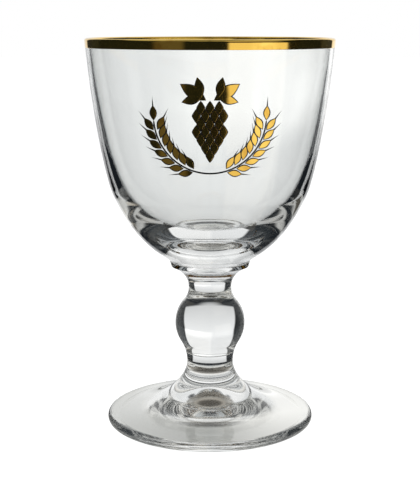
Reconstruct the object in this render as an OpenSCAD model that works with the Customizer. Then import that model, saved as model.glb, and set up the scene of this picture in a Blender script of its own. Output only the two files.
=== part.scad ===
// Stemmed beer tasting glass in millimetres.
// The origin is the middle of the ring that it stands on, Z is up and the print faces -Y.

/* [Foot] */
// Diameter of the foot
foot_d = 67; // [58:0.5:76]
// Thickness of the foot at its round edge
foot_edge_t = 3.2; // [2.4:0.1:4.2]
// Height of the foot, up to its joint with the stem
foot_h = 22.9; // [21.5:0.1:24.5]
// Height of the narrowest place of the foot's neck
foot_neck_z = 19.5; // [17.5:0.1:20.5]
// Diameter of the foot's neck at its narrowest place
foot_neck_d = 15; // [13:0.1:17]
// Slope of the foot's upper face at its edge, in degrees
foot_slope = 4.9; // [2:0.1:10]
// Width of the flat ring under the foot
rest_ring_w = 2.4; // [1.5:0.1:4]
// Rise of the underside from the flat ring to the hollow in the middle
underside_rise = 3.8; // [2.5:0.1:4.5]
// Diameter of the hollow under the middle of the foot
punt_d = 22.4; // [18:0.2:26]
// Depth of that hollow
punt_h = 4.8; // [3:0.1:6.5]

/* [Stem] */
// Length of the stem, from its joint with the foot to the collar
stem_h = 28.4; // [27.5:0.1:34]
// Diameter of the round knop
knop_d = 22.6; // [20:0.1:25]
// Height of the middle of the knop above the joint
knop_rise = 9.6; // [8.5:0.1:10.4]
// Diameter of the stem's neck above the knop
stem_neck_d = 13.9; // [11:0.1:15.5]
// Height of the narrowest place of that neck above the joint
stem_neck_rise = 21.2; // [20:0.1:23]
// Length of the straight stretch of that neck
stem_neck_len = 0.4; // [0.2:0.1:2]

/* [Collar] */
// Diameter of the collar at its upper edge
collar_d = 25.8; // [25.5:0.1:29]
// Thickness of the collar
collar_t = 1.6; // [1:0.1:3]
// How much less the radius is at the collar's lower edge
collar_taper = 0.3; // [0:0.1:1]
// Radius of the collar's rounded edges
collar_round = 0.2; // [0.1:0.05:0.4]

/* [Bowl] */
// Height of the bowl above the collar, without the gold
bowl_h = 70.4; // [64:0.1:80]
// Outer diameter of the bowl at the rim
rim_d = 77.6; // [72:0.2:84]
// Thickness of the wall at the rim
rim_t = 1.4; // [1:0.1:2]
// Lean of the outer wall at the rim, in degrees
rim_lean = 4.3; // [2:0.1:6]
// Outer diameter of the bowl at its shoulder, where the wall turns in
shoulder_d = 61.7; // [58:0.1:66]
// Height of the shoulder above the collar
shoulder_rise = 21.9; // [19:0.1:25]
// Lean of the outer wall at the shoulder, in degrees
shoulder_lean = 23.8; // [18:0.1:30]
// Diameter of the bowl where it meets the collar
base_d = 25.2; // [22:0.1:25.4]
// Angle at which the bowl's underside leaves the collar, in degrees
base_angle = 41.5; // [30:0.5:55]
// Thickness of the solid glass under the inside of the bowl
floor_t = 8.1; // [6.5:0.1:10]
// Thickness of the wall at the shoulder, measured level
shoulder_t = 3.8; // [3:0.1:5]
// Lean of the inner wall at the rim, in degrees
inner_rim_lean = 5.6; // [4:0.1:8]
// Lean of the inner wall at the shoulder, in degrees
inner_shoulder_lean = 32; // [26:0.5:36]

/* [Rim band] */
// Height of the gold band on the outside of the rim
band_h = 2.8; // [1.5:0.1:6]
// Thickness of the fired gold
band_t = 0.1; // [0.06:0.01:0.2]

/* [Print] */
// Height of the middle of the print above the collar
print_rise = 44.5; // [40:0.5:48]
// Thickness of the black layer, which lies on the glass
black_t = 0.08; // [0.05:0.01:0.15]
// Thickness of the gold layer, which lies on the black one
gold_t = 0.08; // [0.05:0.01:0.15]
// Width of the black line that shows round each gold shape
line_w = 0.3; // [0.2:0.02:0.4]
// Radius of the wreath of two barley ears
wreath_r = 16.2; // [15.6:0.1:17]
// Length of one barley grain
grain_l = 3.9; // [3.4:0.1:4.5]
// Width of one barley grain
grain_w = 1.6; // [1.4:0.05:1.9]
// Distance between neighbouring pairs of grains
grain_pitch = 2.8; // [2.6:0.1:3.2]
// Length of the awn, the bristle beyond a grain
awn_l = 3; // [2:0.1:4]
// Width of an awn where it starts
awn_w = 0.5; // [0.35:0.05:0.7]
// Width of the straw that carries an ear
straw_w = 0.5; // [0.4:0.05:0.8]
// Distance between scales of the hop cone, side by side
hop_pitch = 2.6; // [2.3:0.1:2.8]
// Distance between rows of scales of the hop cone
hop_row = 2.3; // [2.1:0.1:2.5]
// Gap between scales, where the black shows
hop_gap = 0.5; // [0.3:0.05:0.6]
// Length of the middle lobe of a hop leaf
leaf_l = 8.2; // [7:0.1:9]
// Width of the middle lobe of a hop leaf
leaf_w = 3.2; // [2.6:0.1:3.8]

/* [Hidden] */
$fn = 96;

// Steps of each curve
wall_steps = 16;
curve_steps = 20;
edge_steps = 10;
shape_steps = 6;

// Heights of the joints above the table
stem_z = foot_h;
collar_z = stem_z + stem_h;
bowl_z = collar_z + collar_t;
rim_z = bowl_z + bowl_h;

// Radii and levels
foot_r = foot_d / 2;
edge_r = foot_edge_t / 2;
foot_neck_r = foot_neck_d / 2;
punt_r = punt_d / 2;
knop_r = knop_d / 2;
knop_z = stem_z + knop_rise;
stem_neck_r = stem_neck_d / 2;
stem_neck_z = stem_z + stem_neck_rise;
flare_z = stem_neck_z + stem_neck_len;
collar_r = collar_d / 2;
collar_low_r = collar_r - collar_taper;
base_r = base_d / 2;
shoulder_r = shoulder_d / 2;
shoulder_z = bowl_z + shoulder_rise;
floor_z = bowl_z + floor_t;
lip_r = rim_t / 2;
lip_c = [rim_d / 2 - lip_r, rim_z - lip_r];
heel_r = shoulder_r - shoulder_t;
band_z = rim_z - band_h;

// How far the handles of each curve reach, as shares of that curve's height or width
foot_neck_share = 0.45;
foot_edge_share = 0.57;
flare_neck_share = 0.62;
flare_collar_r_share = 0.24;
flare_collar_z_share = 0.08;
wall_rim_share = 0.37;
wall_shoulder_share = 0.13;
base_shoulder_share = 0.74;
base_collar_share = 0.2;
inner_rim_share = 0.38;
inner_shoulder_share = 0.14;
inner_heel_share = 0.7;
inner_floor_share = 0.54;

// Point at a share t of the way along a curve with handles b and c
function curve_at(a, b, c, d, t) =
    pow(1 - t, 3) * a + 3 * pow(1 - t, 2) * t * b + 3 * (1 - t) * t * t * c + t * t * t * d;

function curve(a, b, c, d, steps) =
    [for (i = [0 : steps]) curve_at(a, b, c, d, i / steps)];

// Points on an arc about c
function arc(c, r, from, to, steps) =
    [for (i = [0 : steps]) c + r * dir(from + (to - from) * i / steps)];

function dir(angle) = [cos(angle), sin(angle)];

// Direction of a wall that leans out by an angle as it rises
function lean(angle) = [sin(angle), cos(angle)];

function without_first(points) = [for (i = [1 : len(points) - 1]) points[i]];

function reversed(points) = [for (i = [len(points) - 1 : -1 : 0]) points[i]];

// Radius of the hollow arc of a neck that runs smoothly into the knop
function neck_arc_r(neck_r, neck_z) =
    (neck_r * neck_r + pow(neck_z - knop_z, 2) - knop_r * knop_r) / (2 * (knop_r - neck_r));

foot_neck_arc_r = neck_arc_r(foot_neck_r, foot_neck_z);
foot_neck_c = [foot_neck_r + foot_neck_arc_r, foot_neck_z];
stem_neck_arc_r = neck_arc_r(stem_neck_r, stem_neck_z);
stem_neck_c = [stem_neck_r + stem_neck_arc_r, stem_neck_z];

// Angle of the joint between foot and stem on the hollow arc that they share
joint_angle = 180 - asin((stem_z - foot_neck_z) / foot_neck_arc_r);

// Angles, seen from the knop's middle, at which the knop meets the two hollow arcs
knop_low_angle = atan2(foot_neck_z - knop_z, foot_neck_c[0]);
knop_high_angle = atan2(stem_neck_z - knop_z, stem_neck_c[0]);

// Outline of the foot, from the joint out to its edge and back under it to the middle
edge_c = [foot_r - edge_r, edge_r];
edge_top = edge_c + edge_r * dir(90 - foot_slope);
foot_span = edge_top[0] - foot_neck_r;
foot_drop = foot_neck_z - edge_top[1];
ring_in_r = edge_c[0] - rest_ring_w;
foot_outline = concat(
    arc(foot_neck_c, foot_neck_arc_r, joint_angle, 180, edge_steps),
    without_first(curve(
        [foot_neck_r, foot_neck_z],
        [foot_neck_r, foot_neck_z - foot_neck_share * foot_drop],
        edge_top + foot_edge_share * foot_span * dir(180 - foot_slope),
        edge_top,
        curve_steps)),
    without_first(arc(edge_c, edge_r, 90 - foot_slope, -90, edge_steps)),
    [[ring_in_r, 0]],
    punt_outline()
);

// The hollow under the middle: a round-topped bell
function punt_outline() =
    [for (i = [0 : edge_steps])
        [punt_r * (1 - i / edge_steps),
         underside_rise + punt_h * (1 - cos(180 * i / edge_steps)) / 2]];

module foot() {
    color("gainsboro", 0.45)
        rotate_extrude()
            polygon(concat([[0, stem_z]], foot_outline));
}

// Outline of the stem, from the joint up over the knop and the neck to the collar
flare_span = collar_low_r - stem_neck_r;
flare_rise = collar_z - flare_z;
stem_outline = concat(
    arc(foot_neck_c, foot_neck_arc_r, joint_angle, 180 + knop_low_angle, edge_steps),
    without_first(arc([0, knop_z], knop_r, knop_low_angle, knop_high_angle, curve_steps)),
    without_first(arc(stem_neck_c, stem_neck_arc_r, 180 + knop_high_angle, 180, edge_steps)),
    curve(
        [stem_neck_r, flare_z],
        [stem_neck_r, flare_z + flare_neck_share * flare_rise],
        [collar_low_r - flare_collar_r_share * flare_span,
         collar_z - flare_collar_z_share * flare_rise],
        [collar_low_r, collar_z],
        edge_steps)
);

module stem() {
    color("gainsboro", 0.45)
        rotate_extrude()
            polygon(concat([[0, stem_z]], stem_outline, [[0, collar_z]]));
}

// The wafer between stem and bowl, with its two edges rounded off
module collar() {
    low_c = [collar_low_r - collar_round, collar_z + collar_round];
    high_c = [collar_r - collar_round, bowl_z - collar_round];
    color("gainsboro", 0.45)
        rotate_extrude()
            polygon(concat(
                [[0, collar_z]],
                arc(low_c, collar_round, -90, 0, shape_steps),
                arc(high_c, collar_round, 0, 90, shape_steps),
                [[0, bowl_z]]));
}

// Outer wall of the bowl: a straight stretch under the lip, a long curve down to the shoulder
// and the rounded underside
rim_edge = lip_c + lip_r * dir(-rim_lean);
wall_top = rim_edge - (rim_edge[1] - band_z) / cos(rim_lean) * lean(rim_lean);
wall_drop = wall_top[1] - shoulder_z;
wall_points = curve(
    wall_top,
    wall_top - wall_rim_share * wall_drop / cos(rim_lean) * lean(rim_lean),
    [shoulder_r, shoulder_z] + wall_shoulder_share * wall_drop / cos(shoulder_lean) * lean(shoulder_lean),
    [shoulder_r, shoulder_z],
    wall_steps);
underside_points = curve(
    [shoulder_r, shoulder_z],
    [shoulder_r, shoulder_z] - base_shoulder_share * shoulder_rise / cos(shoulder_lean) * lean(shoulder_lean),
    [base_r, bowl_z] + base_collar_share * (shoulder_r - base_r) / cos(base_angle) * dir(base_angle),
    [base_r, bowl_z],
    curve_steps);

// The lip is a half round that runs smoothly into both walls
lip_points = arc(lip_c, lip_r, -rim_lean, 180 - inner_rim_lean, edge_steps);

// Inner wall of the bowl, down to the middle of its floor
inner_edge = lip_c + lip_r * dir(180 - inner_rim_lean);
inner_drop = inner_edge[1] - shoulder_z;
heel_drop = shoulder_z - floor_z;
inner_points = concat(
    curve(
        inner_edge,
        inner_edge - inner_rim_share * inner_drop / cos(inner_rim_lean) * lean(inner_rim_lean),
        [heel_r, shoulder_z]
            + inner_shoulder_share * inner_drop / cos(inner_shoulder_lean) * lean(inner_shoulder_lean),
        [heel_r, shoulder_z],
        wall_steps),
    without_first(curve(
        [heel_r, shoulder_z],
        [heel_r, shoulder_z]
            - inner_heel_share * heel_drop / cos(inner_shoulder_lean) * lean(inner_shoulder_lean),
        [inner_floor_share * heel_r, floor_z],
        [0, floor_z],
        curve_steps))
);

module bowl() {
    color("gainsboro", 0.45)
        rotate_extrude()
            polygon(concat(
                [[0, bowl_z]],
                reversed(underside_points),
                without_first(reversed(wall_points)),
                lip_points,
                without_first(inner_points)));
}

// Fired gold on the straight stretch under the lip and over the lip, down to the inner wall
module rim_band() {
    outward = dir(-rim_lean);
    color("goldenrod")
        rotate_extrude()
            polygon(concat(
                [wall_top],
                lip_points,
                reversed(arc(lip_c, lip_r + band_t, -rim_lean, 180 - inner_rim_lean, edge_steps)),
                [wall_top + band_t * outward]));
}

// Skin of fired colour on the outer wall, between two distances from the glass
module skin(from_t, to_t) {
    rotate_extrude()
        polygon(concat(
            [for (p = wall_points) p + [from_t, 0]],
            reversed([for (p = wall_points) p + [to_t, 0]])));
}

// A flat drawing seen from the front, pressed onto the skin
module printed(from_t, to_t) {
    intersection() {
        skin(from_t, to_t);
        translate([0, 0, bowl_z + print_rise])
            rotate([90, 0, 0])
                linear_extrude(rim_d)
                    children();
    }
}

// Leaf or grain shape along +Y from its foot, grown on all sides by grow
module grain_shape(length, width, grow) {
    full_l = length + 2 * grow;
    half_w = width / 2 + grow;
    side = [for (i = [1 : 2 * shape_steps - 1])
        [half_w * sin(90 * i / shape_steps), full_l * i / (2 * shape_steps) - grow]];
    polygon(concat(
        [[0, -grow]],
        side,
        [[0, length + grow]],
        reversed([for (p = side) [-p[0], p[1]]])));
}

// Scale of the hop cone: a lozenge with rounded corners, its middle at the origin
module hop_scale(grow) {
    half_w = (hop_pitch - hop_gap) / 2 + grow;
    half_l = hop_row - hop_gap + grow;
    lozenge_shares = [[0, -1], [0.38, -0.72], [0.86, -0.2], [1, 0], [0.86, 0.2], [0.38, 0.72], [0, 1]];
    right = [for (s = lozenge_shares) [s[0] * half_w, s[1] * half_l]];
    polygon(concat(right, [for (i = [len(right) - 2 : -1 : 1]) [-right[i][0], right[i][1]]]));
}

// Scales in each row of the cone, from its broad top down to its tip
hop_counts = [3, 4, 3, 4, 3, 2, 1];
hop_top = hop_row * (len(hop_counts) - 1) / 2;

module hop_cone(grow) {
    for (row = [0 : len(hop_counts) - 1], k = [0 : hop_counts[row] - 1])
        translate([(k - (hop_counts[row] - 1) / 2) * hop_pitch, hop_top - row * hop_row])
            hop_scale(grow);
}

// A hop leaf with three lobes, its foot at the top of the cone
leaf_turn = 58;
lobe_turn = 46;
lobe_share = 0.68;
lobe_foot_share = 0.16;

module hop_leaf(grow) {
    grain_shape(leaf_l, leaf_w, grow);
    for (side = [-1, 1])
        translate([0, lobe_foot_share * leaf_l])
            rotate(side * lobe_turn)
                grain_shape(lobe_share * leaf_l, lobe_share * leaf_w, grow);
}

leaf_foot_z = hop_top + hop_row;

module hop_leaves(grow) {
    for (side = [-1, 1])
        translate([side * hop_pitch / 2, leaf_foot_z])
            rotate(-side * leaf_turn)
                hop_leaf(grow);
}

// Barley ears lie along the arc of the wreath, one to each side, open at the top
wreath_z = wreath_r / 4;
ear_start = 18;
ear_pairs = 7;
outer_lean = 26;
inner_lean = 40;
outer_share = 0.35;
inner_share = 0.5;
ear_step = 360 * grain_pitch / (2 * PI * wreath_r);
ear_end = ear_start + ear_pairs * ear_step;

// Places its children on the wreath, at an angle from the bottom, with +Y along the ear
module on_wreath(angle) {
    translate([0, wreath_z])
        rotate(angle - 90)
            translate([wreath_r, 0])
                children();
}

// Places its children at the foot of each grain of an ear, with +Y along the grain
module at_grains() {
    for (i = [0 : ear_pairs - 1])
        on_wreath(ear_start + i * ear_step) {
            translate([outer_share * grain_w, 0])
                rotate(-outer_lean)
                    children();
            translate([-inner_share * grain_w, 0])
                rotate(inner_lean)
                    children();
        }
    on_wreath(ear_end)
        children();
}

module ear_grains(grow) {
    at_grains()
        grain_shape(grain_l, grain_w, grow);
}

// A bristle: a long thin triangle beyond the tip of a grain
module awn() {
    polygon([[-awn_w / 2, 0], [awn_w / 2, 0], [0, awn_l]]);
}

module ear_awns() {
    at_grains()
        translate([0, grain_l])
            awn();
}

// The straw runs along the wreath from just past the middle to the last grain
straw_over = 9;
straw_steps = 24;

module straw() {
    start = -90 - straw_over;
    end = -90 + ear_end;
    outer = arc([0, wreath_z], wreath_r + straw_w / 2, start, end, straw_steps);
    inner = arc([0, wreath_z], wreath_r - straw_w / 2, start, end, straw_steps);
    polygon(concat(outer, reversed(inner)));
}

module both_sides() {
    children();
    mirror([1, 0])
        children();
}

module print_black() {
    color("black")
        printed(0, black_t) {
            both_sides() {
                ear_grains(line_w);
                ear_awns();
                straw();
            }
            hop_cone(line_w);
            hop_leaves(line_w);
        }
}

module print_gold() {
    color("gold")
        printed(black_t, black_t + gold_t) {
            both_sides()
                ear_grains(0);
            hop_cone(0);
            hop_leaves(0);
        }
}

foot();
stem();
collar();
bowl();
rim_band();
print_black();
print_gold();
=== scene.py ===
import math
import bpy
import numpy as np
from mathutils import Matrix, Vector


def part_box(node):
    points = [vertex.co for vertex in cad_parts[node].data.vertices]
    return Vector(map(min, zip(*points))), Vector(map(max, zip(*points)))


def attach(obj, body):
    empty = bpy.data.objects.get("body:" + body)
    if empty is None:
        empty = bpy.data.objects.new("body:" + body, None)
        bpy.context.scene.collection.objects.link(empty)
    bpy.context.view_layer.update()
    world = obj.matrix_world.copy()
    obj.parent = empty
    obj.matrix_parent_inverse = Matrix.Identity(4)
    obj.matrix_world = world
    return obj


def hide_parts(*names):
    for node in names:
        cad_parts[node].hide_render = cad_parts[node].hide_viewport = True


# A small stemmed beer glass: blown bowl, pressed stem and foot, fired gold rim, gold and black print.
# All sizes in the dictionaries are in millimetres and degrees, and shares are fractions of a curve's reach.

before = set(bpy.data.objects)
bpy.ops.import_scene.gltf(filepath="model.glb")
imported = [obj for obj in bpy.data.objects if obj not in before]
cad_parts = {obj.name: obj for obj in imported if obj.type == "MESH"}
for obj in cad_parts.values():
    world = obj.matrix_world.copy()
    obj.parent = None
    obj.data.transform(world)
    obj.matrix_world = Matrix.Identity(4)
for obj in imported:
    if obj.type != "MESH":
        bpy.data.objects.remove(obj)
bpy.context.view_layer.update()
mm = 0.001


def levelsOf(node):
    low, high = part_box(node)
    return low.z / mm, high.z / mm


footTop = levelsOf("foot")[1]
stemTop = levelsOf("stem")[1]
collarTop = levelsOf("collar")[1]
bowlTop = levelsOf("bowl")[1]
bandLow = levelsOf("rim_band")[0]
print("levels in mm:", footTop, stemTop, collarTop, bandLow, bowlTop)


# Outlines: points (radius, height) in mm

# steps in which arcs and curves are worked out, before evenly() spaces their points for the mesh
outlineSteps = {
    "corner": 10,
    "arc": 40,
    "lip": 60,
    "flare": 80,
    "punt": 80,
    "curve": 200,
    "wall": 240,
}
samePoint = 1e-7              # outline points closer than this are one


def heading(angle):
    # unit vector at an angle from straight out
    return np.array([math.cos(math.radians(angle)), math.sin(math.radians(angle))])


def leaning(angle):
    # unit vector along a wall that leans out by an angle as it rises
    return np.array([math.sin(math.radians(angle)), math.cos(math.radians(angle))])


def bend(start, handleA, handleB, end, steps):
    # curve from start to end: (1-t)^3 start + 3(1-t)^2 t handleA + 3(1-t)t^2 handleB + t^3 end
    t = np.linspace(0, 1, steps + 1)[:, None]
    a, b, c, d = (np.asarray(p, float) for p in (start, handleA, handleB, end))
    return (1 - t) ** 3 * a + 3 * (1 - t) ** 2 * t * b + 3 * (1 - t) * t * t * c + t ** 3 * d


def arcAbout(centre, radius, fromAngle, toAngle, steps):
    # circle arc: centre + radius * (cos q, sin q), with q running evenly from one angle to the other
    q = np.radians(np.linspace(fromAngle, toAngle, steps + 1))
    return np.asarray(centre, float) + radius * np.stack([np.cos(q), np.sin(q)], axis=1)


def chain(*parts):
    # joins outline parts end to end and leaves out the points that repeat
    line = np.concatenate([np.atleast_2d(np.asarray(p, float)) for p in parts])
    keep = np.append(True, np.hypot(*np.diff(line, axis=0).T) > samePoint)
    return line[keep]


def evenly(line, spacing):
    # the same outline with a point about every `spacing` mm along it
    along = np.append(0, np.cumsum(np.hypot(*np.diff(line, axis=0).T)))
    count = max(2, int(round(along[-1] / spacing)) + 1)
    at = np.linspace(0, along[-1], count)
    return np.stack([np.interp(at, along, line[:, 0]), np.interp(at, along, line[:, 1])], axis=1)


# Meshes

def meshFrom(name, points, quads, tris, slots, materials):
    # a mesh object from whole arrays; slots gives the material number of each quad, then of each triangle
    mesh = bpy.data.meshes.new(name)
    mesh.from_pydata((points * mm).tolist(), [], quads.tolist() + tris.tolist())
    for material in materials:
        mesh.materials.append(material)
    mesh.polygons.foreach_set("material_index", np.asarray(slots, np.int32))
    mesh.polygons.foreach_set("use_smooth", np.ones(len(slots), bool))
    mesh.update()
    piece = bpy.data.objects.new(name, mesh)
    bpy.context.scene.collection.objects.link(piece)
    return piece


waveForm = {
    "lengths": (9, 13, 17, 23, 31),     # along the outline
    "fewest": 2,              # waves once round the glass, from here to one under `tooMany`
    "tooMany": 9,
    "fade": 8,                # the higher, the nearer to a strip's ends its waves fade
}


def ripple(turn, along, seed):
    # soft waves left in pressed and blown glass, between -1 and 1: the mean of a few products
    # sin(k turn + p) * sin(2 pi along / length + q), with whole k so that they close round the glass
    draw = np.random.default_rng(seed)
    total = np.zeros(np.broadcast(turn, along).shape)
    for length in waveForm["lengths"]:
        k = draw.integers(waveForm["fewest"], waveForm["tooMany"])
        p, q = draw.uniform(0, 2 * math.pi, 2)
        total += np.sin(k * turn + p) * np.sin(2 * math.pi * along / length + q)
    return total / len(waveForm["lengths"])


def tubeFaces(count, around, flatEnd=False):
    # Faces of a closed tube: an end point, count - 2 rings of `around` points, and another end point. Quads
    # join ring j to ring j + 1, and a fan of triangles joins each end ring to its end point. A flat end has
    # no end point: there the fan starts from the last ring's own last point.
    j, i = np.meshgrid(np.arange(count - 3), np.arange(around), indexing="ij")
    following = (i + 1) % around
    quads = 1 + np.stack([j * around + i, (j + 1) * around + i, (j + 1) * around + following,
                          j * around + following], axis=2).reshape(-1, 4)
    ring = np.arange(around)
    ringNext = (ring + 1) % around
    lastRing = 1 + (count - 3) * around
    last = lastRing + around - (1 if flatEnd else 0)
    firstFan = np.stack([0 * ring, 1 + ring, 1 + ringNext], axis=1)
    lastFan = np.stack([lastRing + ring, last + 0 * ring, lastRing + ringNext], axis=1)
    return quads, np.concatenate([firstFan, lastFan[:-2] if flatEnd else lastFan])


def lathe(name, strips, materials, turns, seed, loop=False):
    # Closed surface of revolution. Each strip is (outline points, material number, wave height); the strips
    # join end to end. Point (r, z) at turn a goes to (r cos a, r sin a, z), and is first moved along the
    # outline's own normal by the wave height times ripple, which fades to nothing at both ends of its strip.
    # Ends on the axis are single points, and a loop closes on itself instead.
    lines, slots, waves = [], [], []
    for points, slot, wave in strips:
        part = np.asarray(points, float)
        share = np.linspace(-1, 1, len(part))
        lines.append(part[1:] if lines else part)
        slots += [slot] * (len(part) - 1)
        height = wave * (1 - share ** waveForm["fade"])
        waves.append(height[1:] if len(waves) else height)
    line, wave = np.concatenate(lines), np.concatenate(waves)
    if loop:
        line, wave = line[:-1], wave[:-1]
    along = np.append(0, np.cumsum(np.hypot(*np.diff(line, axis=0).T)))
    slope = np.gradient(line, axis=0)
    slope /= np.maximum(np.hypot(slope[:, 0], slope[:, 1]), samePoint)[:, None]
    normal = np.stack([-slope[:, 1], slope[:, 0]], axis=1)
    turn = np.linspace(0, 2 * math.pi, turns, endpoint=False)
    lift = wave[:, None] * ripple(turn[None], along[:, None], seed)
    radius = line[:, :1] + normal[:, :1] * lift
    height = line[:, 1:] + normal[:, 1:] * lift
    rings = np.stack([radius * np.cos(turn), radius * np.sin(turn), height + 0 * turn], axis=2)
    count = len(line)
    if loop:
        points = rings.reshape(-1, 3)
        j, i = np.meshgrid(np.arange(count), np.arange(turns), indexing="ij")
        ringNext, nextTurn = (j + 1) % count, (i + 1) % turns
        quads = np.stack([j * turns + i, ringNext * turns + i, ringNext * turns + nextTurn,
                          j * turns + nextTurn], axis=2)
        return meshFrom(name, points, quads.reshape(-1, 4), np.zeros((0, 3), int),
                        np.repeat(slots, turns), materials)
    points = np.concatenate([[[0, 0, line[0, 1]]], rings[1:-1].reshape(-1, 3), [[0, 0, line[-1, 1]]]])
    quads, tris = tubeFaces(count, turns)
    slotList = np.concatenate([np.repeat(slots[1:-1], turns), np.repeat([slots[0], slots[-1]], turns)])
    return meshFrom(name, points, quads, tris, slotList, materials)


def creaseSlot(piece, slot):
    # the faces of one material stay flat, so that the shading breaks at their edge
    index = np.zeros(len(piece.data.polygons), np.int32)
    piece.data.polygons.foreach_get("material_index", index)
    piece.data.polygons.foreach_set("use_smooth", index != slot)
    piece.data.update()


# Node helpers

def linear(hexColour):
    # sRGB hex to linear: c / 12.92 up to 0.04045, else ((c + 0.055) / 1.055) ^ 2.4
    values = [int(hexColour[i:i + 2], 16) / 255 for i in (1, 3, 5)]
    return [v / 12.92 if v <= 0.04045 else ((v + 0.055) / 1.055) ** 2.4 for v in values]


def addNode(tree, kind, settings=None, links=None):
    # adds a node, sets its properties, and sets or links its inputs by name or number
    node = tree.nodes.new(kind)
    for key, value in (settings or {}).items():
        setattr(node, key, value)
    for key, value in (links or {}).items():
        if isinstance(value, bpy.types.NodeSocket):
            tree.links.new(value, node.inputs[key])
        else:
            node.inputs[key].default_value = value
    return node


def newMaterial(name):
    material = bpy.data.materials.new(name)
    material.use_nodes = True
    material.node_tree.nodes.clear()
    return material, material.node_tree


def colour4(hexColour):
    # the same with an alpha of one, as colour sockets and ramps want it
    return [*linear(hexColour), 1.0]


# Materials

glassLook = {
    "tint": "#FDFEFD",        # soda-lime glass: a breath of grey-green
    "ior": 1.52,
    "shadowTint": "#E4E8E7",  # of the light that the glass lets through to the table
    # the punt's grey tint below is painted shade in the hollow under the foot
    "puntShadeTint": "#7E7970",
    "puntRoughness": 0.1,
    "plainRoughness": 0.06,
    "pressedWave": (12.0, 0.008),       # length and height of the waves too low for the mesh
    "blownWave": (22.0, 0.02),
    "waveDetail": 1.0,
    "waveRoughness": 0.4,
}


def sodaLimeGlass(name, wave, tint=glassLook["tint"], roughness=0.0):
    # Soda-lime glass. Fire-polished, it has no roughness, only the slow waves of the mould or the blowing
    # iron; where a tool has touched it, it is duller. Lamps shine through it, tinted, and the floor keeps a
    # light shadow. A darker tint paints shade into it, as in the punt.
    waveLength, waveHeight = wave
    material, tree = newMaterial(name)
    place = addNode(tree, "ShaderNodeTexCoord").outputs["Object"]
    waves = addNode(tree, "ShaderNodeTexNoise", links={
        "Vector": place, "Scale": 1 / (waveLength * mm), "Detail": glassLook["waveDetail"],
        "Roughness": glassLook["waveRoughness"]})
    bump = addNode(tree, "ShaderNodeBump", links={
        "Strength": 1.0, "Distance": waveHeight * mm, "Height": waves.outputs["Fac"]})
    glass = addNode(tree, "ShaderNodeBsdfPrincipled", links={
        "Base Color": colour4(tint), "Roughness": roughness, "IOR": glassLook["ior"],
        "Transmission Weight": 1.0, "Normal": bump.outputs["Normal"]})
    through = addNode(tree, "ShaderNodeBsdfTransparent", links={"Color": colour4(glassLook["shadowTint"])})
    path = addNode(tree, "ShaderNodeLightPath")
    mixed = addNode(tree, "ShaderNodeMixShader", links={
        0: path.outputs["Is Shadow Ray"], 1: glass.outputs[0], 2: through.outputs[0]})
    addNode(tree, "ShaderNodeOutputMaterial", links={"Surface": mixed.outputs[0]})
    return material


def fusedJoint():
    # Where two hot pieces of glass are stuck together there is no surface any more: light goes straight on.
    material, tree = newMaterial("fused glass joint")
    through = addNode(tree, "ShaderNodeBsdfTransparent")
    addNode(tree, "ShaderNodeOutputMaterial", links={"Surface": through.outputs[0]})
    return material


goldLook = {
    "bright": "#F8D068",      # liquid bright gold, fired
    "thin": "#DDAE4E",        # where the film is thin
    "cloudSize": 6.0,
    "cloudDetail": 3.0,
    "cloudRoughness": 0.6,
    "filmStops": (0.3, 0.5),  # cloud values where the film is thin and where it is full
    "dullSpan": (0.3, 0.7),   # cloud values over which its roughness falls
    "roughness": (0.1, 0.04),
    "grainSize": 0.35,
    "grainDetail": 2.0,
    "grainRoughness": 0.5,
    "grainHeight": 0.002,
    "grainStrength": 0.5,
}


def brightGold():
    # Liquid bright gold fired on glass: a mirror film under a thousandth of a millimetre thick, so it mirrors
    # the room, dark or bright. It is a little duller in soft clouds and has fine pits from brush and screen.
    material, tree = newMaterial("fired bright gold")
    place = addNode(tree, "ShaderNodeTexCoord").outputs["Object"]
    clouds = addNode(tree, "ShaderNodeTexNoise", links={
        "Vector": place, "Scale": 1 / (goldLook["cloudSize"] * mm), "Detail": goldLook["cloudDetail"],
        "Roughness": goldLook["cloudRoughness"]})
    grain = addNode(tree, "ShaderNodeTexNoise", links={
        "Vector": place, "Scale": 1 / (goldLook["grainSize"] * mm), "Detail": goldLook["grainDetail"],
        "Roughness": goldLook["grainRoughness"]})
    shade = addNode(tree, "ShaderNodeValToRGB", links={"Fac": clouds.outputs["Fac"]})
    for element, at, tone in zip(shade.color_ramp.elements, goldLook["filmStops"], ("thin", "bright")):
        element.position = at
        element.color = colour4(goldLook[tone])
    rough = addNode(tree, "ShaderNodeMapRange", links={
        "Value": clouds.outputs["Fac"],
        "From Min": goldLook["dullSpan"][0], "From Max": goldLook["dullSpan"][1],
        "To Min": goldLook["roughness"][0], "To Max": goldLook["roughness"][1]})
    bump = addNode(tree, "ShaderNodeBump", links={
        "Strength": goldLook["grainStrength"], "Distance": goldLook["grainHeight"] * mm,
        "Height": grain.outputs["Fac"]})
    gold = addNode(tree, "ShaderNodeBsdfPrincipled", links={
        "Base Color": shade.outputs["Color"], "Metallic": 1.0, "Roughness": rough.outputs["Result"],
        "Normal": bump.outputs["Normal"]})
    addNode(tree, "ShaderNodeOutputMaterial", links={"Surface": gold.outputs[0]})
    return material


enamelLook = {
    "black": "#0D0C0C",
    "lean": "#1C1917",        # where the screen left less colour
    "filmStops": (0.35, 0.75),          # grain values where the colour is full and where it is lean
    "roughness": 0.16,
    "ior": 1.55,
    "grainSize": 0.5,
    "grainDetail": 2.0,
    "grainRoughness": 0.5,
    "grainHeight": 0.004,
    "grainStrength": 0.6,
}


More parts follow.
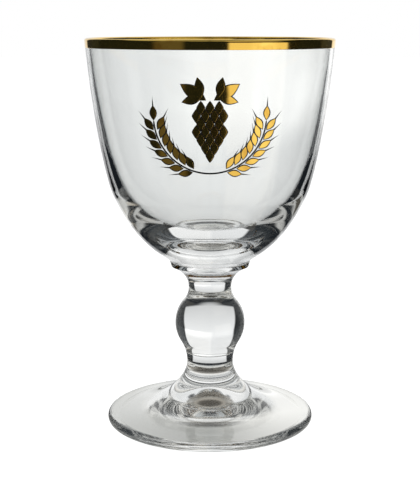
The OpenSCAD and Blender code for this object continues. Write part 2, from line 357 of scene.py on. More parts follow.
def blackEnamel():
    # Black glass enamel, screened and fired: glossy, with the slight orange peel of the screen.
    material, tree = newMaterial("fired black enamel")
    place = addNode(tree, "ShaderNodeTexCoord").outputs["Object"]
    grain = addNode(tree, "ShaderNodeTexNoise", links={
        "Vector": place, "Scale": 1 / (enamelLook["grainSize"] * mm), "Detail": enamelLook["grainDetail"],
        "Roughness": enamelLook["grainRoughness"]})
    shade = addNode(tree, "ShaderNodeValToRGB", links={"Fac": grain.outputs["Fac"]})
    for element, at, tone in zip(shade.color_ramp.elements, enamelLook["filmStops"], ("black", "lean")):
        element.position = at
        element.color = colour4(enamelLook[tone])
    bump = addNode(tree, "ShaderNodeBump", links={
        "Strength": enamelLook["grainStrength"], "Distance": enamelLook["grainHeight"] * mm,
        "Height": grain.outputs["Fac"]})
    enamel = addNode(tree, "ShaderNodeBsdfPrincipled", links={
        "Base Color": shade.outputs["Color"], "Roughness": enamelLook["roughness"],
        "IOR": enamelLook["ior"], "Normal": bump.outputs["Normal"]})
    addNode(tree, "ShaderNodeOutputMaterial", links={"Surface": enamel.outputs[0]})
    return material


pressedGlass = sodaLimeGlass("pressed soda-lime glass", glassLook["pressedWave"])
# The punt: dull, and tinted much greyer than the polished outside, which is painted shade in the hollow under
# the foot.
dullPuntWithPaintedShade = sodaLimeGlass("dull punt glass with painted shade", glassLook["pressedWave"],
                             glassLook["puntShadeTint"], glassLook["puntRoughness"])
# The underside round the punt, which no flame has reached: clear, with a breath of dullness.
plainGlass = sodaLimeGlass("unpolished soda-lime glass", glassLook["pressedWave"],
                           roughness=glassLook["plainRoughness"])
blownGlass = sodaLimeGlass("blown soda-lime glass", glassLook["blownWave"])
joint = fusedJoint()
gold = brightGold()
enamel = blackEnamel()
print("materials made")


# Foot: pressed, with a dished underside and a round punt

# material numbers: a piece's own, the fused joints, and in the foot the dull punt with its painted shade and
# the dull underside
own, fused, shadedPunt, underside = range(4)

foot = {
    "width": 67.0,
    "edgeThick": 3.2,
    "topSlope": 4.9,
    "neckHeight": 19.5,
    "neckWidth": 15.0,
    "neckShare": 0.45,
    "edgeShare": 0.57,
    "ringWidth": 2.4,
    "undersideRise": 3.8,
    "puntWidth": 22.4,
    "puntHeight": 4.8,
    "dullShare": 0.5,         # how far in from the ring the underside is polished
    "wave": 0.006,            # height of the waves in the mesh
    "turns": 256,             # mesh points round it
    "topSpacing": 0.3,        # mesh spacing along its outline
    "edgeSpacing": 0.15,
    "underSpacing": 0.4,
    "puntSpacing": 0.25,
    "seed": 11,
}

# Stem: pressed, with a flare, a neck and a round knop

stem = {
    "knopWidth": 22.6,
    "knopRise": 9.6,
    "neckWidth": 13.9,
    "neckRise": 21.2,
    "neckLength": 0.4,
    "flareNeckShare": 0.62,
    "flareCollarShareOut": 0.24,
    "flareCollarShareUp": 0.08,
    "wave": 0.004,
    "turns": 224,
    "spacing": 0.22,
    "seed": 12,
}

knopR = stem["knopWidth"] / 2
knopZ = footTop + stem["knopRise"]


def hollowArc(neckR, neckZ):
    # centre and radius of the hollow arc of a neck that runs smoothly into the knop
    radius = (neckR ** 2 + (neckZ - knopZ) ** 2 - knopR ** 2) / (2 * (knopR - neckR))
    return np.array([neckR + radius, neckZ]), radius


footNeckR = foot["neckWidth"] / 2
footArcC, footArcR = hollowArc(footNeckR, foot["neckHeight"])
jointAngle = 180 - math.degrees(math.asin((footTop - foot["neckHeight"]) / footArcR))


def makeFoot():
    edgeR = foot["edgeThick"] / 2
    edgeC = np.array([foot["width"] / 2 - edgeR, edgeR])
    edgeTop = edgeC + edgeR * heading(90 - foot["topSlope"])
    neckStart = np.array([footNeckR, foot["neckHeight"]])
    drop = neckStart[1] - edgeTop[1]
    span = edgeTop[0] - footNeckR
    top = chain(
        arcAbout(footArcC, footArcR, jointAngle, 180, outlineSteps["arc"]),
        bend(neckStart, neckStart - [0, foot["neckShare"] * drop],
             edgeTop + foot["edgeShare"] * span * heading(180 - foot["topSlope"]), edgeTop,
             outlineSteps["curve"]))
    edge = arcAbout(edgeC, edgeR, 90 - foot["topSlope"], -90, outlineSteps["arc"])
    ringIn = np.array([edgeC[0] - foot["ringWidth"], 0])
    puntR = foot["puntWidth"] / 2
    # punt: height rises as (1 - cos(pi t)) / 2 while the radius falls evenly to nothing
    t = np.linspace(0, 1, outlineSteps["punt"] + 1)
    punt = np.stack([puntR * (1 - t),
                     foot["undersideRise"] + foot["puntHeight"] * (1 - np.cos(np.pi * t)) / 2], axis=1)
    dullFrom = ringIn + foot["dullShare"] * (punt[0] - ringIn)
    strips = [
        ([[0, footTop], top[0]], fused, 0),
        (evenly(top, foot["topSpacing"]), own, foot["wave"]),
        (evenly(edge, foot["edgeSpacing"]), own, 0),
        (evenly(chain(edge[-1], ringIn), foot["underSpacing"]), own, 0),
        (evenly(chain(ringIn, dullFrom), foot["underSpacing"]), own, foot["wave"]),
        (evenly(chain(dullFrom, punt[0]), foot["underSpacing"]), underside, foot["wave"]),
        (evenly(punt, foot["puntSpacing"]), shadedPunt, 0),
    ]
    piece = lathe("pressedFoot", strips, [pressedGlass, joint, dullPuntWithPaintedShade, plainGlass],
                  foot["turns"], foot["seed"])
    creaseSlot(piece, fused)
    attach(piece, "root")
    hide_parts("foot")
    print("foot:", len(piece.data.polygons), "faces")


def makeStem():
    neckR = stem["neckWidth"] / 2
    neckZ = footTop + stem["neckRise"]
    flareZ = neckZ + stem["neckLength"]
    arcC, arcR = hollowArc(neckR, neckZ)
    lowAngle = math.degrees(math.atan2(foot["neckHeight"] - knopZ, footArcC[0]))
    highAngle = math.degrees(math.atan2(neckZ - knopZ, arcC[0]))
    topR = collar["width"] / 2 - collar["taper"]
    rise, span = stemTop - flareZ, topR - neckR
    side = chain(
        arcAbout(footArcC, footArcR, jointAngle, 180 + lowAngle, outlineSteps["arc"]),
        arcAbout([0, knopZ], knopR, lowAngle, highAngle, outlineSteps["curve"]),
        arcAbout(arcC, arcR, 180 + highAngle, 180, outlineSteps["arc"]),
        bend([neckR, flareZ], [neckR, flareZ + stem["flareNeckShare"] * rise],
             [topR - stem["flareCollarShareOut"] * span, stemTop - stem["flareCollarShareUp"] * rise],
             [topR, stemTop], outlineSteps["flare"]))[::-1]
    strips = [
        ([[0, stemTop], [topR - collar["round"], stemTop]], fused, 0),
        ([[topR - collar["round"], stemTop], [topR, stemTop]], own, 0),
        (evenly(side, stem["spacing"]), own, stem["wave"]),
        ([side[-1], [0, footTop]], fused, 0),
    ]
    piece = lathe("pressedStem", strips, [pressedGlass, joint], stem["turns"], stem["seed"])
    creaseSlot(piece, fused)
    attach(piece, "root")
    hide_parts("stem")
    print("stem:", len(piece.data.polygons), "faces")


# Collar: the sharp-edged wafer between stem and bowl

collar = {
    "width": 25.8,
    "taper": 0.3,
    "round": 0.2,
    "turns": 224,
    "seed": 13,
}


def makeCollar():
    highR = collar["width"] / 2
    lowR = highR - collar["taper"]
    edge = collar["round"]
    side = chain(
        arcAbout([highR - edge, collarTop - edge], edge, 90, 0, outlineSteps["corner"]),
        arcAbout([lowR - edge, stemTop + edge], edge, 0, -90, outlineSteps["corner"]))
    strips = [
        ([[0, collarTop], [bowl["baseWidth"] / 2, collarTop]], fused, 0),
        ([[bowl["baseWidth"] / 2, collarTop], side[0]], own, 0),
        (side, own, 0),
        ([side[-1], [0, stemTop]], fused, 0),
    ]
    piece = lathe("collarWafer", strips, [pressedGlass, joint], collar["turns"], collar["seed"])
    creaseSlot(piece, fused)
    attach(piece, "root")
    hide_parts("collar")
    print("collar:", len(piece.data.polygons), "faces")


# Bowl: blown, thin at the rim and thick under its inside; the band and the print follow its outlines too

bowl = {
    "rimWidth": 77.6,
    "rimThick": 1.4,
    "rimLean": 4.3,
    "shoulderWidth": 61.7,
    "shoulderRise": 21.9,
    "shoulderLean": 23.8,
    "baseWidth": 25.2,
    "baseAngle": 41.5,
    "floorThick": 8.1,
    "shoulderThick": 3.8,
    "innerRimLean": 5.6,
    "innerShoulderLean": 32.0,
    "wallRimShare": 0.37,
    "wallShoulderShare": 0.13,
    "baseShoulderShare": 0.74,
    "baseCollarShare": 0.2,
    "innerRimShare": 0.38,
    "innerShoulderShare": 0.14,
    "innerHeelShare": 0.7,
    "innerFloorShare": 0.54,
    "wave": 0.02,
    "turns": 256,
    "spacing": 0.45,
    "lipSpacing": 0.12,
    "seed": 14,
}

lipR = bowl["rimThick"] / 2
lipC = np.array([bowl["rimWidth"] / 2 - lipR, bowlTop - lipR])
rimEdge = lipC + lipR * heading(-bowl["rimLean"])


def risingBy(angle):
    # the step along a wall that leans by an angle, for each millimetre that it rises
    return leaning(angle) / math.cos(math.radians(angle))


wallTop = rimEdge - (rimEdge[1] - bandLow) * risingBy(bowl["rimLean"])
shoulder = np.array([bowl["shoulderWidth"] / 2, collarTop + bowl["shoulderRise"]])


def outerWall():
    # from the lower edge of the band down to the shoulder
    drop = wallTop[1] - shoulder[1]
    return bend(
        wallTop,
        wallTop - bowl["wallRimShare"] * drop * risingBy(bowl["rimLean"]),
        shoulder + bowl["wallShoulderShare"] * drop * risingBy(bowl["shoulderLean"]),
        shoulder, outlineSteps["wall"])


def bowlUnderside():
    # from the shoulder down and in to the collar
    base = np.array([bowl["baseWidth"] / 2, collarTop])
    return bend(
        shoulder,
        shoulder - bowl["baseShoulderShare"] * bowl["shoulderRise"] * risingBy(bowl["shoulderLean"]),
        base + bowl["baseCollarShare"] * (shoulder[0] - base[0])
        / math.cos(math.radians(bowl["baseAngle"])) * heading(bowl["baseAngle"]),
        base, outlineSteps["curve"])


def lipLine(radius):
    # half round over the lip, from the outer wall to the inner one
    return arcAbout(lipC, radius, -bowl["rimLean"], 180 - bowl["innerRimLean"], outlineSteps["lip"])


def innerWall():
    # from the lip down to the middle of the inside floor
    edge = lipLine(lipR)[-1]
    floorZ = collarTop + bowl["floorThick"]
    heel = np.array([shoulder[0] - bowl["shoulderThick"], shoulder[1]])
    drop, heelDrop = edge[1] - shoulder[1], shoulder[1] - floorZ
    out = risingBy(bowl["innerShoulderLean"])
    return chain(
        bend(edge, edge - bowl["innerRimShare"] * drop * risingBy(bowl["innerRimLean"]),
             heel + bowl["innerShoulderShare"] * drop * out, heel, outlineSteps["wall"]),
        bend(heel, heel - bowl["innerHeelShare"] * heelDrop * out,
             [bowl["innerFloorShare"] * heel[0], floorZ], [0, floorZ], outlineSteps["curve"]))


def makeBowl():
    outside = chain(rimEdge, outerWall(), bowlUnderside())
    strips = [
        (evenly(innerWall()[::-1], bowl["spacing"]), own, bowl["wave"]),
        (evenly(lipLine(lipR)[::-1], bowl["lipSpacing"]), own, 0),
        (evenly(outside, bowl["spacing"]), own, bowl["wave"]),
        ([outside[-1], [0, collarTop]], fused, 0),
    ]
    piece = lathe("blownBowl", strips, [blownGlass, joint], bowl["turns"], bowl["seed"])
    creaseSlot(piece, fused)
    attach(piece, "root")
    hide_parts("bowl")
    print("bowl:", len(piece.data.polygons), "faces")


# Rim band: gold film

band = {
    "thick": 0.1,
    "bite": 0.02,             # how far the film's inner face is let into the glass
    "turns": 320,
    "spacing": 0.12,
    "seed": 15,
}


def makeBand():
    # gold film over the lip: outside line a film's thickness off the glass, inside line just in the glass
    outward = heading(-bowl["rimLean"])
    outer = chain(wallTop + band["thick"] * outward, lipLine(lipR + band["thick"]))
    inner = chain(wallTop - band["bite"] * outward, lipLine(lipR - band["bite"]))
    loop = chain(inner[:1], outer, inner[::-1])
    strips = [(evenly(loop[::-1], band["spacing"]), own, 0)]
    piece = lathe("rimBand", strips, [gold], band["turns"], band["seed"], loop=True)
    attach(piece, "root")
    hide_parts("rim_band")
    print("band:", len(piece.data.polygons), "faces")


makeFoot()
makeStem()
makeCollar()
makeBowl()
makeBand()


# Print on the front: two barley ears round a hop cone with two leaves, drawn flat as (x, up) about its centre

artwork = {
    "rise": 44.5,             # its centre above the foot of the bowl
    "blackThick": 0.08,
    "goldThick": 0.08,
    "bite": 0.02,             # how far each layer is let into what it lies on
    "line": 0.3,              # how far the black shows round the gold
    "wreathR": 16.2,
    "grain": (3.9, 1.6),      # length, width
    "grainPitch": 2.8,
    "awn": (3.0, 0.5),        # length, width
    "strawWidth": 0.5,
    "strawOver": 9.0,         # how far each straw runs past the wreath's lowest point
    "strawStations": 88,
    "strawBlunt": 40,         # the higher, the blunter its two ends
    "earStart": 18.0,         # of the first grains, up from the lowest point
    "earPairs": 7,
    "outerLean": 26.0,        # how far the two grains of a pair turn from the straw
    "innerLean": 40.0,
    "outerShare": 0.35,       # how far they stand off it, in grain widths
    "innerShare": 0.5,
    "hopPitch": 2.6,
    "hopRow": 2.3,
    "hopGap": 0.5,
    "hopCounts": (3, 4, 3, 4, 3, 2, 1),
    "leaf": (8.2, 3.2),       # length, width
    "leafTurn": 58.0,
    "lobeTurn": 46.0,
    "lobeShare": 0.68,
    "lobeFootShare": 0.16,
    "stations": 22,
    "bevel": 0.03,            # the edge of a fired patch
    "bevelShare": 0.2,        # its limit, as a share of the half width
    # one loop across a patch: (side, bevels in from the edge, 1 face, -1 back, 0 edge)
    "patchLoop": ((1, 0, 0), (1, 1, 1), (1, 2, 1), (0, 0, 1), (-1, 2, 1), (-1, 1, 1),
                  (-1, 0, 0), (-1, 1, -1), (0, 0, -1), (1, 1, -1)),
}

wallLine = outerWall()[::-1]
wreathUp = artwork["wreathR"] / 4       # the wreath's middle above the drawing's


def pressOn(x, up, off):
    # the flat drawing pressed back onto the wall: y = -sqrt((R(z) + off)^2 - x^2), R being the wall's radius
    z = collarTop + artwork["rise"] + up
    radius = np.interp(z, wallLine[:, 1], wallLine[:, 0]) + off
    return np.stack([x, -np.sqrt(radius ** 2 - x ** 2), z], axis=-1)


def firedPatch(centreX, centreUp, sideX, sideUp, halfWidth, low, mid, high):
    # A patch of fired colour along a line on the drawing. At each station a loop of points runs once round
    # it, on the sides that patchLoop gives, moved in from the edge by whole bevels; they lie at high on its
    # face, at low on its back and at mid on its edge. The first end closes in a point and the last one flat.
    bevel = np.minimum(artwork["bevel"], halfWidth * artwork["bevelShare"])[:, None]
    sign, steps, face = np.array(artwork["patchLoop"]).T
    sideways = sign * (halfWidth[:, None] - steps * bevel)
    rise = np.select([face > 0, face < 0], [high - mid, low - mid], 0.0)
    off = mid + rise + 0 * sideways
    x = centreX[:, None] + sideX[:, None] * sideways
    up = centreUp[:, None] + sideUp[:, None] * sideways
    rings = pressOn(x, up, off)
    count, around = rings.shape[:2]
    tip = pressOn(centreX[:1], centreUp[:1], np.array([mid]))
    points = np.concatenate([tip, rings[1:-1].reshape(-1, 3)])
    return points, *tubeFaces(count, around, flatEnd=True)


def straightPatch(footX, footUp, turn, start, length, shape, layer):
    # patch along a straight line from its foot, turned by an angle from straight right; shape gives the half
    # width at each share of the way along it
    t = np.linspace(0, 1, artwork["stations"])
    t = (1 - np.cos(np.pi * t)) / 2
    along = start + length * t
    ahead, side = heading(turn), heading(turn - 90)
    return firedPatch(footX + ahead[0] * along, footUp + ahead[1] * along,
                      np.full(len(t), side[0]), np.full(len(t), side[1]), shape(t), *layer)


blackLayer = (-artwork["bite"], 0.0, artwork["blackThick"])
goldLayer = (artwork["blackThick"] - artwork["bite"], artwork["blackThick"],
             artwork["blackThick"] + artwork["goldThick"])


def lensPatch(x, up, turn, length, width, grow, layer):
    # grain or leaf: half width (width / 2 + grow) sin(pi t), grown on all sides
    return straightPatch(x, up, turn, -grow, length + 2 * grow,
                         lambda t: (width / 2 + grow) * np.sin(np.pi * t), layer)


def grainPlaces():
    # foot and direction of every grain of the right-hand ear, along the arc of the wreath
    step = 360 * artwork["grainPitch"] / (2 * math.pi * artwork["wreathR"])
    centre = np.array([0, wreathUp])
    width = artwork["grain"][1]
    places = []
    for i in range(artwork["earPairs"]):
        angle = artwork["earStart"] + i * step
        out = heading(angle - 90)
        onArc = centre + artwork["wreathR"] * out
        places.append((*(onArc + artwork["outerShare"] * width * out), angle - artwork["outerLean"]))
        places.append((*(onArc - artwork["innerShare"] * width * out), angle + artwork["innerLean"]))
    end = artwork["earStart"] + artwork["earPairs"] * step
    places.append((*(centre + artwork["wreathR"] * heading(end - 90)), end))
    return places, end


def hopPlaces():
    rows = artwork["hopCounts"]
    top = artwork["hopRow"] * (len(rows) - 1) / 2
    places = [((k - (count - 1) / 2) * artwork["hopPitch"], top - row * artwork["hopRow"])
              for row, count in enumerate(rows) for k in range(count)]
    return places, top + artwork["hopRow"]


def lozengePatch(x, up, grow, layer):
    # hop scale: a lozenge with rounded corners; its half width by shares of its half height
    halfWidth = (artwork["hopPitch"] - artwork["hopGap"]) / 2 + grow
    halfLength = artwork["hopRow"] - artwork["hopGap"] + grow
    heightShares = (-1, -0.72, -0.2, 0, 0.2, 0.72, 1)
    widthShares = (0, 0.38, 0.86, 1, 0.86, 0.38, 0)
    return straightPatch(x, up, 90, -halfLength, 2 * halfLength,
                         lambda t: halfWidth * np.interp(2 * t - 1, heightShares, widthShares), layer)


def leafPatches(side, footUp, grow, layer):
    length, width = artwork["leaf"]
    x, turn = side * artwork["hopPitch"] / 2, 90 - side * artwork["leafTurn"]
    lobeFoot = np.array([x, footUp]) + artwork["lobeFootShare"] * length * heading(turn)
    share = artwork["lobeShare"]
    return [lensPatch(x, footUp, turn, length, width, grow, layer)] + [
        lensPatch(*lobeFoot, turn + lobe * artwork["lobeTurn"], share * length, share * width, grow, layer)
        for lobe in (-1, 1)]


def awnPatch(x, up, turn, layer):
    length, width = artwork["awn"]
    start = artwork["grain"][0]
    return straightPatch(x, up, turn, start - artwork["line"], length + artwork["line"],
                         lambda t: width / 2 * (1 - t), layer)


def strawPatch(mirrored, end, layer):
    # along the wreath from just past its lowest point to the last grain
    angle = np.linspace(-90 - artwork["strawOver"], -90 + end, artwork["strawStations"])
    q = np.radians(angle)
    t = np.linspace(0, 1, len(q))
    half = artwork["strawWidth"] / 2 * (1 - np.abs(2 * t - 1) ** artwork["strawBlunt"])
    return firedPatch(mirrored * artwork["wreathR"] * np.cos(q), wreathUp + artwork["wreathR"] * np.sin(q),
                      mirrored * np.cos(q), np.sin(q), half, *layer)


def printLayer(name, patches, material, node):
    offsets = np.append(0, np.cumsum([len(p[0]) for p in patches]))[:-1]
    points = np.concatenate([p[0] for p in patches])
    quads = np.concatenate([p[1] + o for p, o in zip(patches, offsets)])
    tris = np.concatenate([p[2] + o for p, o in zip(patches, offsets)])
    piece = meshFrom(name, points, quads, tris, np.zeros(len(quads) + len(tris)), [material])
    bpy.context.view_layer.objects.active = piece
    piece.select_set(True)
    bpy.ops.object.mode_set(mode="EDIT")
    bpy.ops.mesh.select_all(action="SELECT")
    bpy.ops.mesh.normals_make_consistent(inside=False)
    bpy.ops.object.mode_set(mode="OBJECT")
    piece.select_set(False)
    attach(piece, "root")
    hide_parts(node)
    print(name + ":", len(patches), "patches,", len(piece.data.polygons), "faces")


def makePrint():
    grains, earEnd = grainPlaces()
    scales, leafFoot = hopPlaces()
    both = [(side * x, up, turn if side > 0 else 180 - turn) for x, up, turn in grains for side in (1, -1)]
    length, width = artwork["grain"]

    def patches(grow, layer):
        return ([lensPatch(x, up, turn, length, width, grow, layer) for x, up, turn in both]
                + [lozengePatch(x, up, grow, layer) for x, up in scales]
                + [patch for side in (1, -1) for patch in leafPatches(side, leafFoot, grow, layer)])

    awns = [awnPatch(x, up, turn, blackLayer) for x, up, turn in both]
    straws = [strawPatch(side, earEnd, blackLayer) for side in (1, -1)]
    printLayer("printBlack", patches(artwork["line"], blackLayer) + awns + straws, enamel,
               "print_black")
    printLayer("printGold", patches(0, goldLayer), gold, "print_gold")


makePrint()


# Studio. The camera sees a plain pale table and a white background. The glass, the gold and the enamel see a
# dome and a table card instead: a dark room with a white window behind the glass, a warm softbox at the front
# right, a dim panel at the front left, a grey ceiling, narrow pale walls at the sides and wide ones in front.

studio = {
    "floorWidth": 8000.0,
    "floorDrop": 0.2,         # the floor lies this far under the foot, and the card half as far
    "floorColour": "#F4F4F3",
    "floorGlow": 0.86,
    "ambient": 0.25,          # the background's light on matt things
    "domeR": 900.0,
    "domeAround": 64,
    "domeRows": 17,
    "dark": "#1E2226",
    "tableNear": 55.0,        # the card starts to mirror the light fields here; nearer the foot it is dark, a painted shadow round the foot
    "tableFull": 60.5,        # and mirrors them fully from here out
    "tableFar": 450.0,        # up to here it mirrors only their near share
    "tableFall": 0.35,        # it mirrors them darker by this share at tableNear, less as one over the reach: painted shade near the glass
    # painted light and shadow on the card under and round the foot, from the middle out: (reach, tone); dim
    # under the punt, bright where the glass gathers light, dark at the edge as the foot's shadow
    "lightAndShadeUnderFoot": ((0, "#6C6C6B"), (8, "#949493"), (13, "#FFFFFF"), (32, "#FFFFFF"), (41, "#4A4D50")),
    # multiplied by painted light and shade round the glass: the front, the left and the back, the right, the
    # front again
    "lightAndShadeRoundFoot": ((-180, "#A2A3A0"), (-40, "#D4D4D0"), (90, "#FAF9F5"), (180, "#A2A3A0")),
    # painted light and shade on the card behind the middle instead, within an azimuth and a soft edge; its
    # bright ring is a painted highlight that the punt shows
    "lightAndShadeBehindFoot": ((0, "#5A5957"), (16, "#7A7772"), (20, "#F4F1EC"), (30, "#BDBFBE"), (41, "#60646A")),
    "behindSpan": (24, 10),
}

# Azimuths are measured from straight behind the glass, to the right; elevations are above the table. A later
# field lies over an earlier one.
# (azimuth from, to, elevation from, to, soft edge, colour, strength, share that the near table mirrors)
lightFields = {
    "ceiling": (-181, 181, 52, 76, 8, "#B6B9BB", 1.0, 0),
    "wallRight": (124, 181, -90, 57, 6, "#EDEDEA", 0.8, 1),
    "wallLeft": (-181, -124, -90, 57, 6, "#EDEDEA", 0.8, 1),
    "doorRight": (82, 98, -4, 57, 4, "#EDEDEA", 0.6, 0),
    "doorLeft": (-98, -82, -4, 57, 4, "#EDEDEA", 0.6, 0),
    "sideLeft": (-62, -36, -90, 52, 3, "#2C3033", 1.0, 0),      # dark flats beside the window
    "sideRight": (38, 62, -90, 52, 3, "#3A3E41", 1.0, 0),
    "window": (-32, 34, -90, 57, 2, "#F8F9FA", 1.0, 1),
    "windowRight": (-2.5, 34, -90, 57, 2, "#FFFFFF", 1.08, 0),
    "windowEdge": (4, 34, -90, 57, 2, "#FFFFFF", 1.1, 0),
    "windowFar": (8.5, 34, -90, 3, 2, "#FFFFFF", 1.3, 0),
    "windowHigh": (-32, 0, 7, 57, 3, "#F8F9FA", 0.9, 0),
    "windowHighRight": (0, 34, 7, 57, 3, "#FFFFFF", 0.93, 0),
    "softbox": (108, 164, -90, 2, 2, "#FFF6E6", 1.0, 1),
    "softboxTop": (108, 164, 32, 60, 4, "#FFF6E6", 0.5, 1),
    "hotSpot": (122, 140, -90, 2, 8, "#FFFFFF", 1.35, 1),
    "panel": (-157, -130, -90, 60, 3, "#8C877C", 0.4, 1),
}

# pale walls that show through the glass in the views from the sides and the back, but that nothing mirrors
throughOnly = ("wallRight", "wallLeft", "doorRight", "doorLeft")


def fieldMask(tree, value, low, high, soft):
    # 1 between low and high, falling softly to 0 over `soft` on each side
    up = addNode(tree, "ShaderNodeMapRange", {"interpolation_type": "SMOOTHSTEP"}, {
        "Value": value, "From Min": low - soft, "From Max": low + soft})
    down = addNode(tree, "ShaderNodeMapRange", {"interpolation_type": "SMOOTHSTEP"}, {
        "Value": value, "From Min": high - soft, "From Max": high + soft, "To Min": 1.0, "To Max": 0.0})
    both = addNode(tree, "ShaderNodeMath", {"operation": "MULTIPLY"}, {
        0: up.outputs["Result"], 1: down.outputs["Result"]})
    return both.outputs[0]


def toneRamp(tree, value, stops, unit):
    # a colour ramp with its stops at given values
    first, last = stops[0][0], stops[-1][0]
    share = addNode(tree, "ShaderNodeMapRange", links={
        "Value": value, "From Min": first * unit, "From Max": last * unit})
    ramp = addNode(tree, "ShaderNodeValToRGB", links={"Fac": share.outputs["Result"]})
    middle = 0.5              # where new stops start, before each gets its own place
    for _ in stops[2:]:
        ramp.color_ramp.elements.new(middle)
    for element, (at, tone) in zip(ramp.color_ramp.elements, stops):
        element.position = (at - first) / (last - first)
        element.color = colour4(tone)
    return ramp.outputs["Color"]


def studioMaterial(name, forTable):
    # The room as the glass sees it: dark, with the light fields painted on by the direction from the glass's
    # foot. The table card has the same fields, fainter near the glass, with painted shade close round the
    # foot, and its own painted light and shadow under the foot.
    material, tree = newMaterial(name)
    place = addNode(tree, "ShaderNodeTexCoord").outputs["Object"]
    parts = addNode(tree, "ShaderNodeSeparateXYZ", links={0: place})
    turn = addNode(tree, "ShaderNodeMath", {"operation": "ARCTAN2"}, {
        0: parts.outputs["X"], 1: parts.outputs["Y"]})
    azimuth = addNode(tree, "ShaderNodeMath", {"operation": "DEGREES"}, {0: turn.outputs[0]}).outputs[0]
    flat = addNode(tree, "ShaderNodeCombineXYZ", links={
        "X": parts.outputs["X"], "Y": parts.outputs["Y"]})
    length = addNode(tree, "ShaderNodeVectorMath", {"operation": "LENGTH"}, {0: flat.outputs[0]})
    reach = length.outputs["Value"]
    rise = addNode(tree, "ShaderNodeMath", {"operation": "ARCTAN2"}, {0: parts.outputs["Z"], 1: reach})
    elevation = addNode(tree, "ShaderNodeMath", {"operation": "DEGREES"}, {0: rise.outputs[0]}).outputs[0]

    def over(mask, under, tone):
        # one tone laid over another by a mask; each is a colour or a socket, and 6 and 7 are the Mix node's
        # two colours
        return addNode(tree, "ShaderNodeMix", {"data_type": "RGBA"}, {0: mask, 6: under, 7: tone}).outputs[2]

    glow = colour4(studio["dark"])
    path = addNode(tree, "ShaderNodeLightPath")
    for field, (low, high, down, up, soft, tone, strength, nearShare) in lightFields.items():
        mask = addNode(tree, "ShaderNodeMath", {"operation": "MULTIPLY"}, {
            0: fieldMask(tree, azimuth, low, high, soft), 1: fieldMask(tree, elevation, down, up, soft)})
        if forTable and nearShare < 1:
            faint = addNode(tree, "ShaderNodeMapRange", {"interpolation_type": "SMOOTHSTEP"}, {
                "Value": reach, "From Min": studio["tableFar"] * mm, "From Max": studio["domeR"] * mm,
                "To Min": nearShare, "To Max": 1.0})
            mask = addNode(tree, "ShaderNodeMath", {"operation": "MULTIPLY"}, {
                0: mask.outputs[0], 1: faint.outputs["Result"]})
        if field in throughOnly:
            mask = addNode(tree, "ShaderNodeMath", {"operation": "MULTIPLY"}, {
                0: mask.outputs[0], 1: path.outputs["Is Transmission Ray"]})
        glow = over(mask.outputs[0], glow, [strength * c for c in linear(tone)] + [1.0])
    if forTable:
        # what the card mirrors, times 1 - tableFall * tableNear / reach, a painted shade near the glass;
        # inside tableNear it stays dark as a painted shadow
        fall = addNode(tree, "ShaderNodeMath", {"operation": "DIVIDE"}, {
            0: studio["tableFall"] * studio["tableNear"] * mm, 1: reach})
        lit = addNode(tree, "ShaderNodeMath", {"operation": "SUBTRACT"}, {0: 1.0, 1: fall.outputs[0]})
        mirrored = addNode(tree, "ShaderNodeVectorMath", {"operation": "SCALE"}, {
            0: glow, "Scale": lit.outputs[0]})
        beyond = addNode(tree, "ShaderNodeMapRange", {"interpolation_type": "SMOOTHSTEP"}, {
            "Value": reach, "From Min": studio["tableNear"] * mm, "From Max": studio["tableFull"] * mm})
        glow = over(beyond.outputs["Result"], colour4(studio["dark"]), mirrored.outputs[0])
        # painted light and shadow on the card under and round the foot, out to its edge
        cardEdge = studio["lightAndShadeUnderFoot"][-1][0] * mm
        rings = toneRamp(tree, reach, studio["lightAndShadeUnderFoot"], mm)
        sectors = toneRamp(tree, azimuth, studio["lightAndShadeRoundFoot"], 1)
        weighed = addNode(tree, "ShaderNodeVectorMath", {"operation": "MULTIPLY"}, {0: rings, 1: sectors})
        span, soft = studio["behindSpan"]
        footLightAndShade = over(fieldMask(tree, azimuth, -span, span, soft), weighed.outputs[0],
                        toneRamp(tree, reach, studio["lightAndShadeBehindFoot"], mm))
        near = addNode(tree, "ShaderNodeMath", {"operation": "LESS_THAN"}, {0: reach, 1: cardEdge})
        glow = over(near.outputs[0], glow, footLightAndShade)
    emission = addNode(tree, "ShaderNodeEmission", links={"Color": glow, "Strength": 1.0})
    addNode(tree, "ShaderNodeOutputMaterial", links={"Surface": emission.outputs[0]})
    material.cycles.emission_sampling = "NONE"
    return material


def stageObject(name, points, faces, material):
    mesh = bpy.data.meshes.new(name)
    mesh.from_pydata(points, [], faces)
    mesh.materials.append(material)
    thing = bpy.data.objects.new(name, mesh)
    bpy.context.scene.collection.objects.link(thing)
    return thing


def hideFromCamera(thing):
    # seen only in and through the glass, the gold and the enamel
    thing.visible_camera = False
    thing.visible_diffuse = False
    thing.visible_shadow = False
    thing.visible_volume_scatter = False


def square(half, height):
    return [(-half, -half, height), (half, -half, height), (half, half, height), (-half, half, height)]


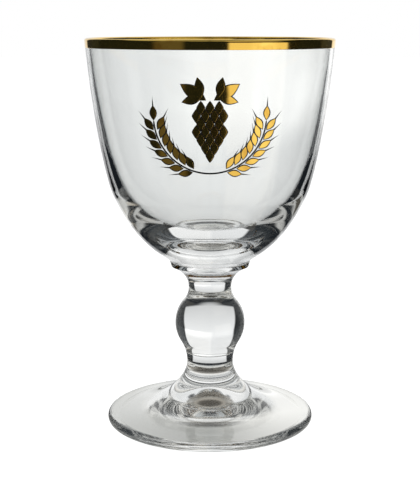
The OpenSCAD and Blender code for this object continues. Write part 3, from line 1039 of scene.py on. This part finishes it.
def makeStudio():
    floorTone, tree = newMaterial("pale table")
    matt = addNode(tree, "ShaderNodeBsdfDiffuse", links={"Color": colour4(studio["floorColour"])})
    shine = addNode(tree, "ShaderNodeEmission", links={"Strength": studio["floorGlow"]})
    both = addNode(tree, "ShaderNodeAddShader", links={0: matt.outputs[0], 1: shine.outputs[0]})
    addNode(tree, "ShaderNodeOutputMaterial", links={"Surface": both.outputs[0]})
    half = studio["floorWidth"] / 2 * mm
    stageObject("floor", square(half, -studio["floorDrop"] * mm), [(0, 1, 2, 3)], floorTone)

    table = stageObject("tableSeenInGlass", square(studio["domeR"] * mm, -studio["floorDrop"] / 2 * mm),
                        [(0, 1, 2, 3)], studioMaterial("table seen in glass", True))
    radius = studio["domeR"] * mm
    around, rows = studio["domeAround"], studio["domeRows"]
    # dome: (R cos e cos a, R cos e sin a, R sin e), for turns a and elevations e, closed by one point on top
    a = np.linspace(0, 2 * math.pi, around, endpoint=False)
    e = np.linspace(0, math.pi / 2, rows + 1)[:-1, None]
    shell = np.stack([radius * np.cos(e) * np.cos(a), radius * np.cos(e) * np.sin(a),
                      radius * np.sin(e) + 0 * a], axis=2).reshape(-1, 3)
    points = np.concatenate([shell, [[0, 0, radius]]]).tolist()
    j, i = np.meshgrid(np.arange(rows - 1), np.arange(around), indexing="ij")
    following = (i + 1) % around
    quads = np.stack([j * around + i, j * around + following, (j + 1) * around + following,
                      (j + 1) * around + i], axis=2).reshape(-1, 4)
    caps = [[(rows - 1) * around + k, (rows - 1) * around + (k + 1) % around, rows * around]
            for k in range(around)]
    room = stageObject("roomSeenInGlass", points, quads.tolist() + caps,
                       studioMaterial("room seen in glass", False))
    for thing in (table, room):
        hideFromCamera(thing)


# soft lamps: (place, width, watts)
lamps = {
    "softKey": ((350, -500, 900), 500, 3.0),
    "softFill": ((-600, -300, 700), 500, 1.5),
}


def areaLamp(name, place, size, power):
    # a round lamp that is aimed at the glass's foot, and that the glass and the gold don't mirror
    lamp = bpy.data.lights.new(name, "AREA")
    lamp.shape = "DISK"
    lamp.size = size * mm
    lamp.energy = power
    thing = bpy.data.objects.new(name, lamp)
    thing.location = [p * mm for p in place]
    aim = -thing.location.normalized()
    thing.rotation_euler = aim.to_track_quat("-Z", "Y").to_euler()
    bpy.context.scene.collection.objects.link(thing)
    thing.visible_glossy = False
    thing.visible_transmission = False


def makeWorld():
    # white to the camera, in mirrors and through the glass; dimmer as light on matt things
    world = bpy.data.worlds.new("white surroundings")
    bpy.context.scene.world = world
    world.use_nodes = True
    tree = world.node_tree
    tree.nodes.clear()
    path = addNode(tree, "ShaderNodeLightPath")
    seen = addNode(tree, "ShaderNodeMath", {"operation": "MAXIMUM"}, {
        0: path.outputs["Is Camera Ray"], 1: path.outputs["Is Glossy Ray"]})
    seenToo = addNode(tree, "ShaderNodeMath", {"operation": "MAXIMUM"}, {
        0: seen.outputs[0], 1: path.outputs["Is Transmission Ray"]})
    strength = addNode(tree, "ShaderNodeMapRange", links={
        "Value": seenToo.outputs[0], "To Min": studio["ambient"], "To Max": 1.0})
    back = addNode(tree, "ShaderNodeBackground", links={"Strength": strength.outputs["Result"]})
    back.inputs["Color"].default_value = (1, 1, 1, 1)
    addNode(tree, "ShaderNodeOutputWorld", links={"Surface": back.outputs[0]})


# the camera that takes the glass as in the photograph
camera = {
    "lens": 84.81,
    "distance": 364.5,
    "height": 127.96,
    "pitch": 10.893,
    "clipNear": 10.0,
    "clipFar": 50000.0,
}


def makeCamera():
    data = bpy.data.cameras.new("camera")
    data.lens = camera["lens"]
    data.clip_start = camera["clipNear"] * mm
    data.clip_end = camera["clipFar"] * mm
    thing = bpy.data.objects.new("camera", data)
    thing.location = (0, -camera["distance"] * mm, camera["height"] * mm)
    thing.rotation_euler = (math.radians(90 - camera["pitch"]), 0, 0)
    bpy.context.scene.collection.objects.link(thing)
    bpy.context.scene.camera = thing


makeCamera()
makeStudio()
makeWorld()
for name, (place, size, power) in lamps.items():
    areaLamp(name, place, size, power)

# enough bounces for the total reflections inside the foot and the knop
bounces = {
    "max_bounces": 32,
    "transmission_bounces": 32,
    "glossy_bounces": 16,
    "transparent_max_bounces": 32,
}

scene = bpy.context.scene
scene.view_settings.view_transform = "Standard"
for kind, most in bounces.items():
    setattr(scene.cycles, kind, most)
scene.cycles.caustics_reflective = False
scene.cycles.caustics_refractive = False
print("studio set")
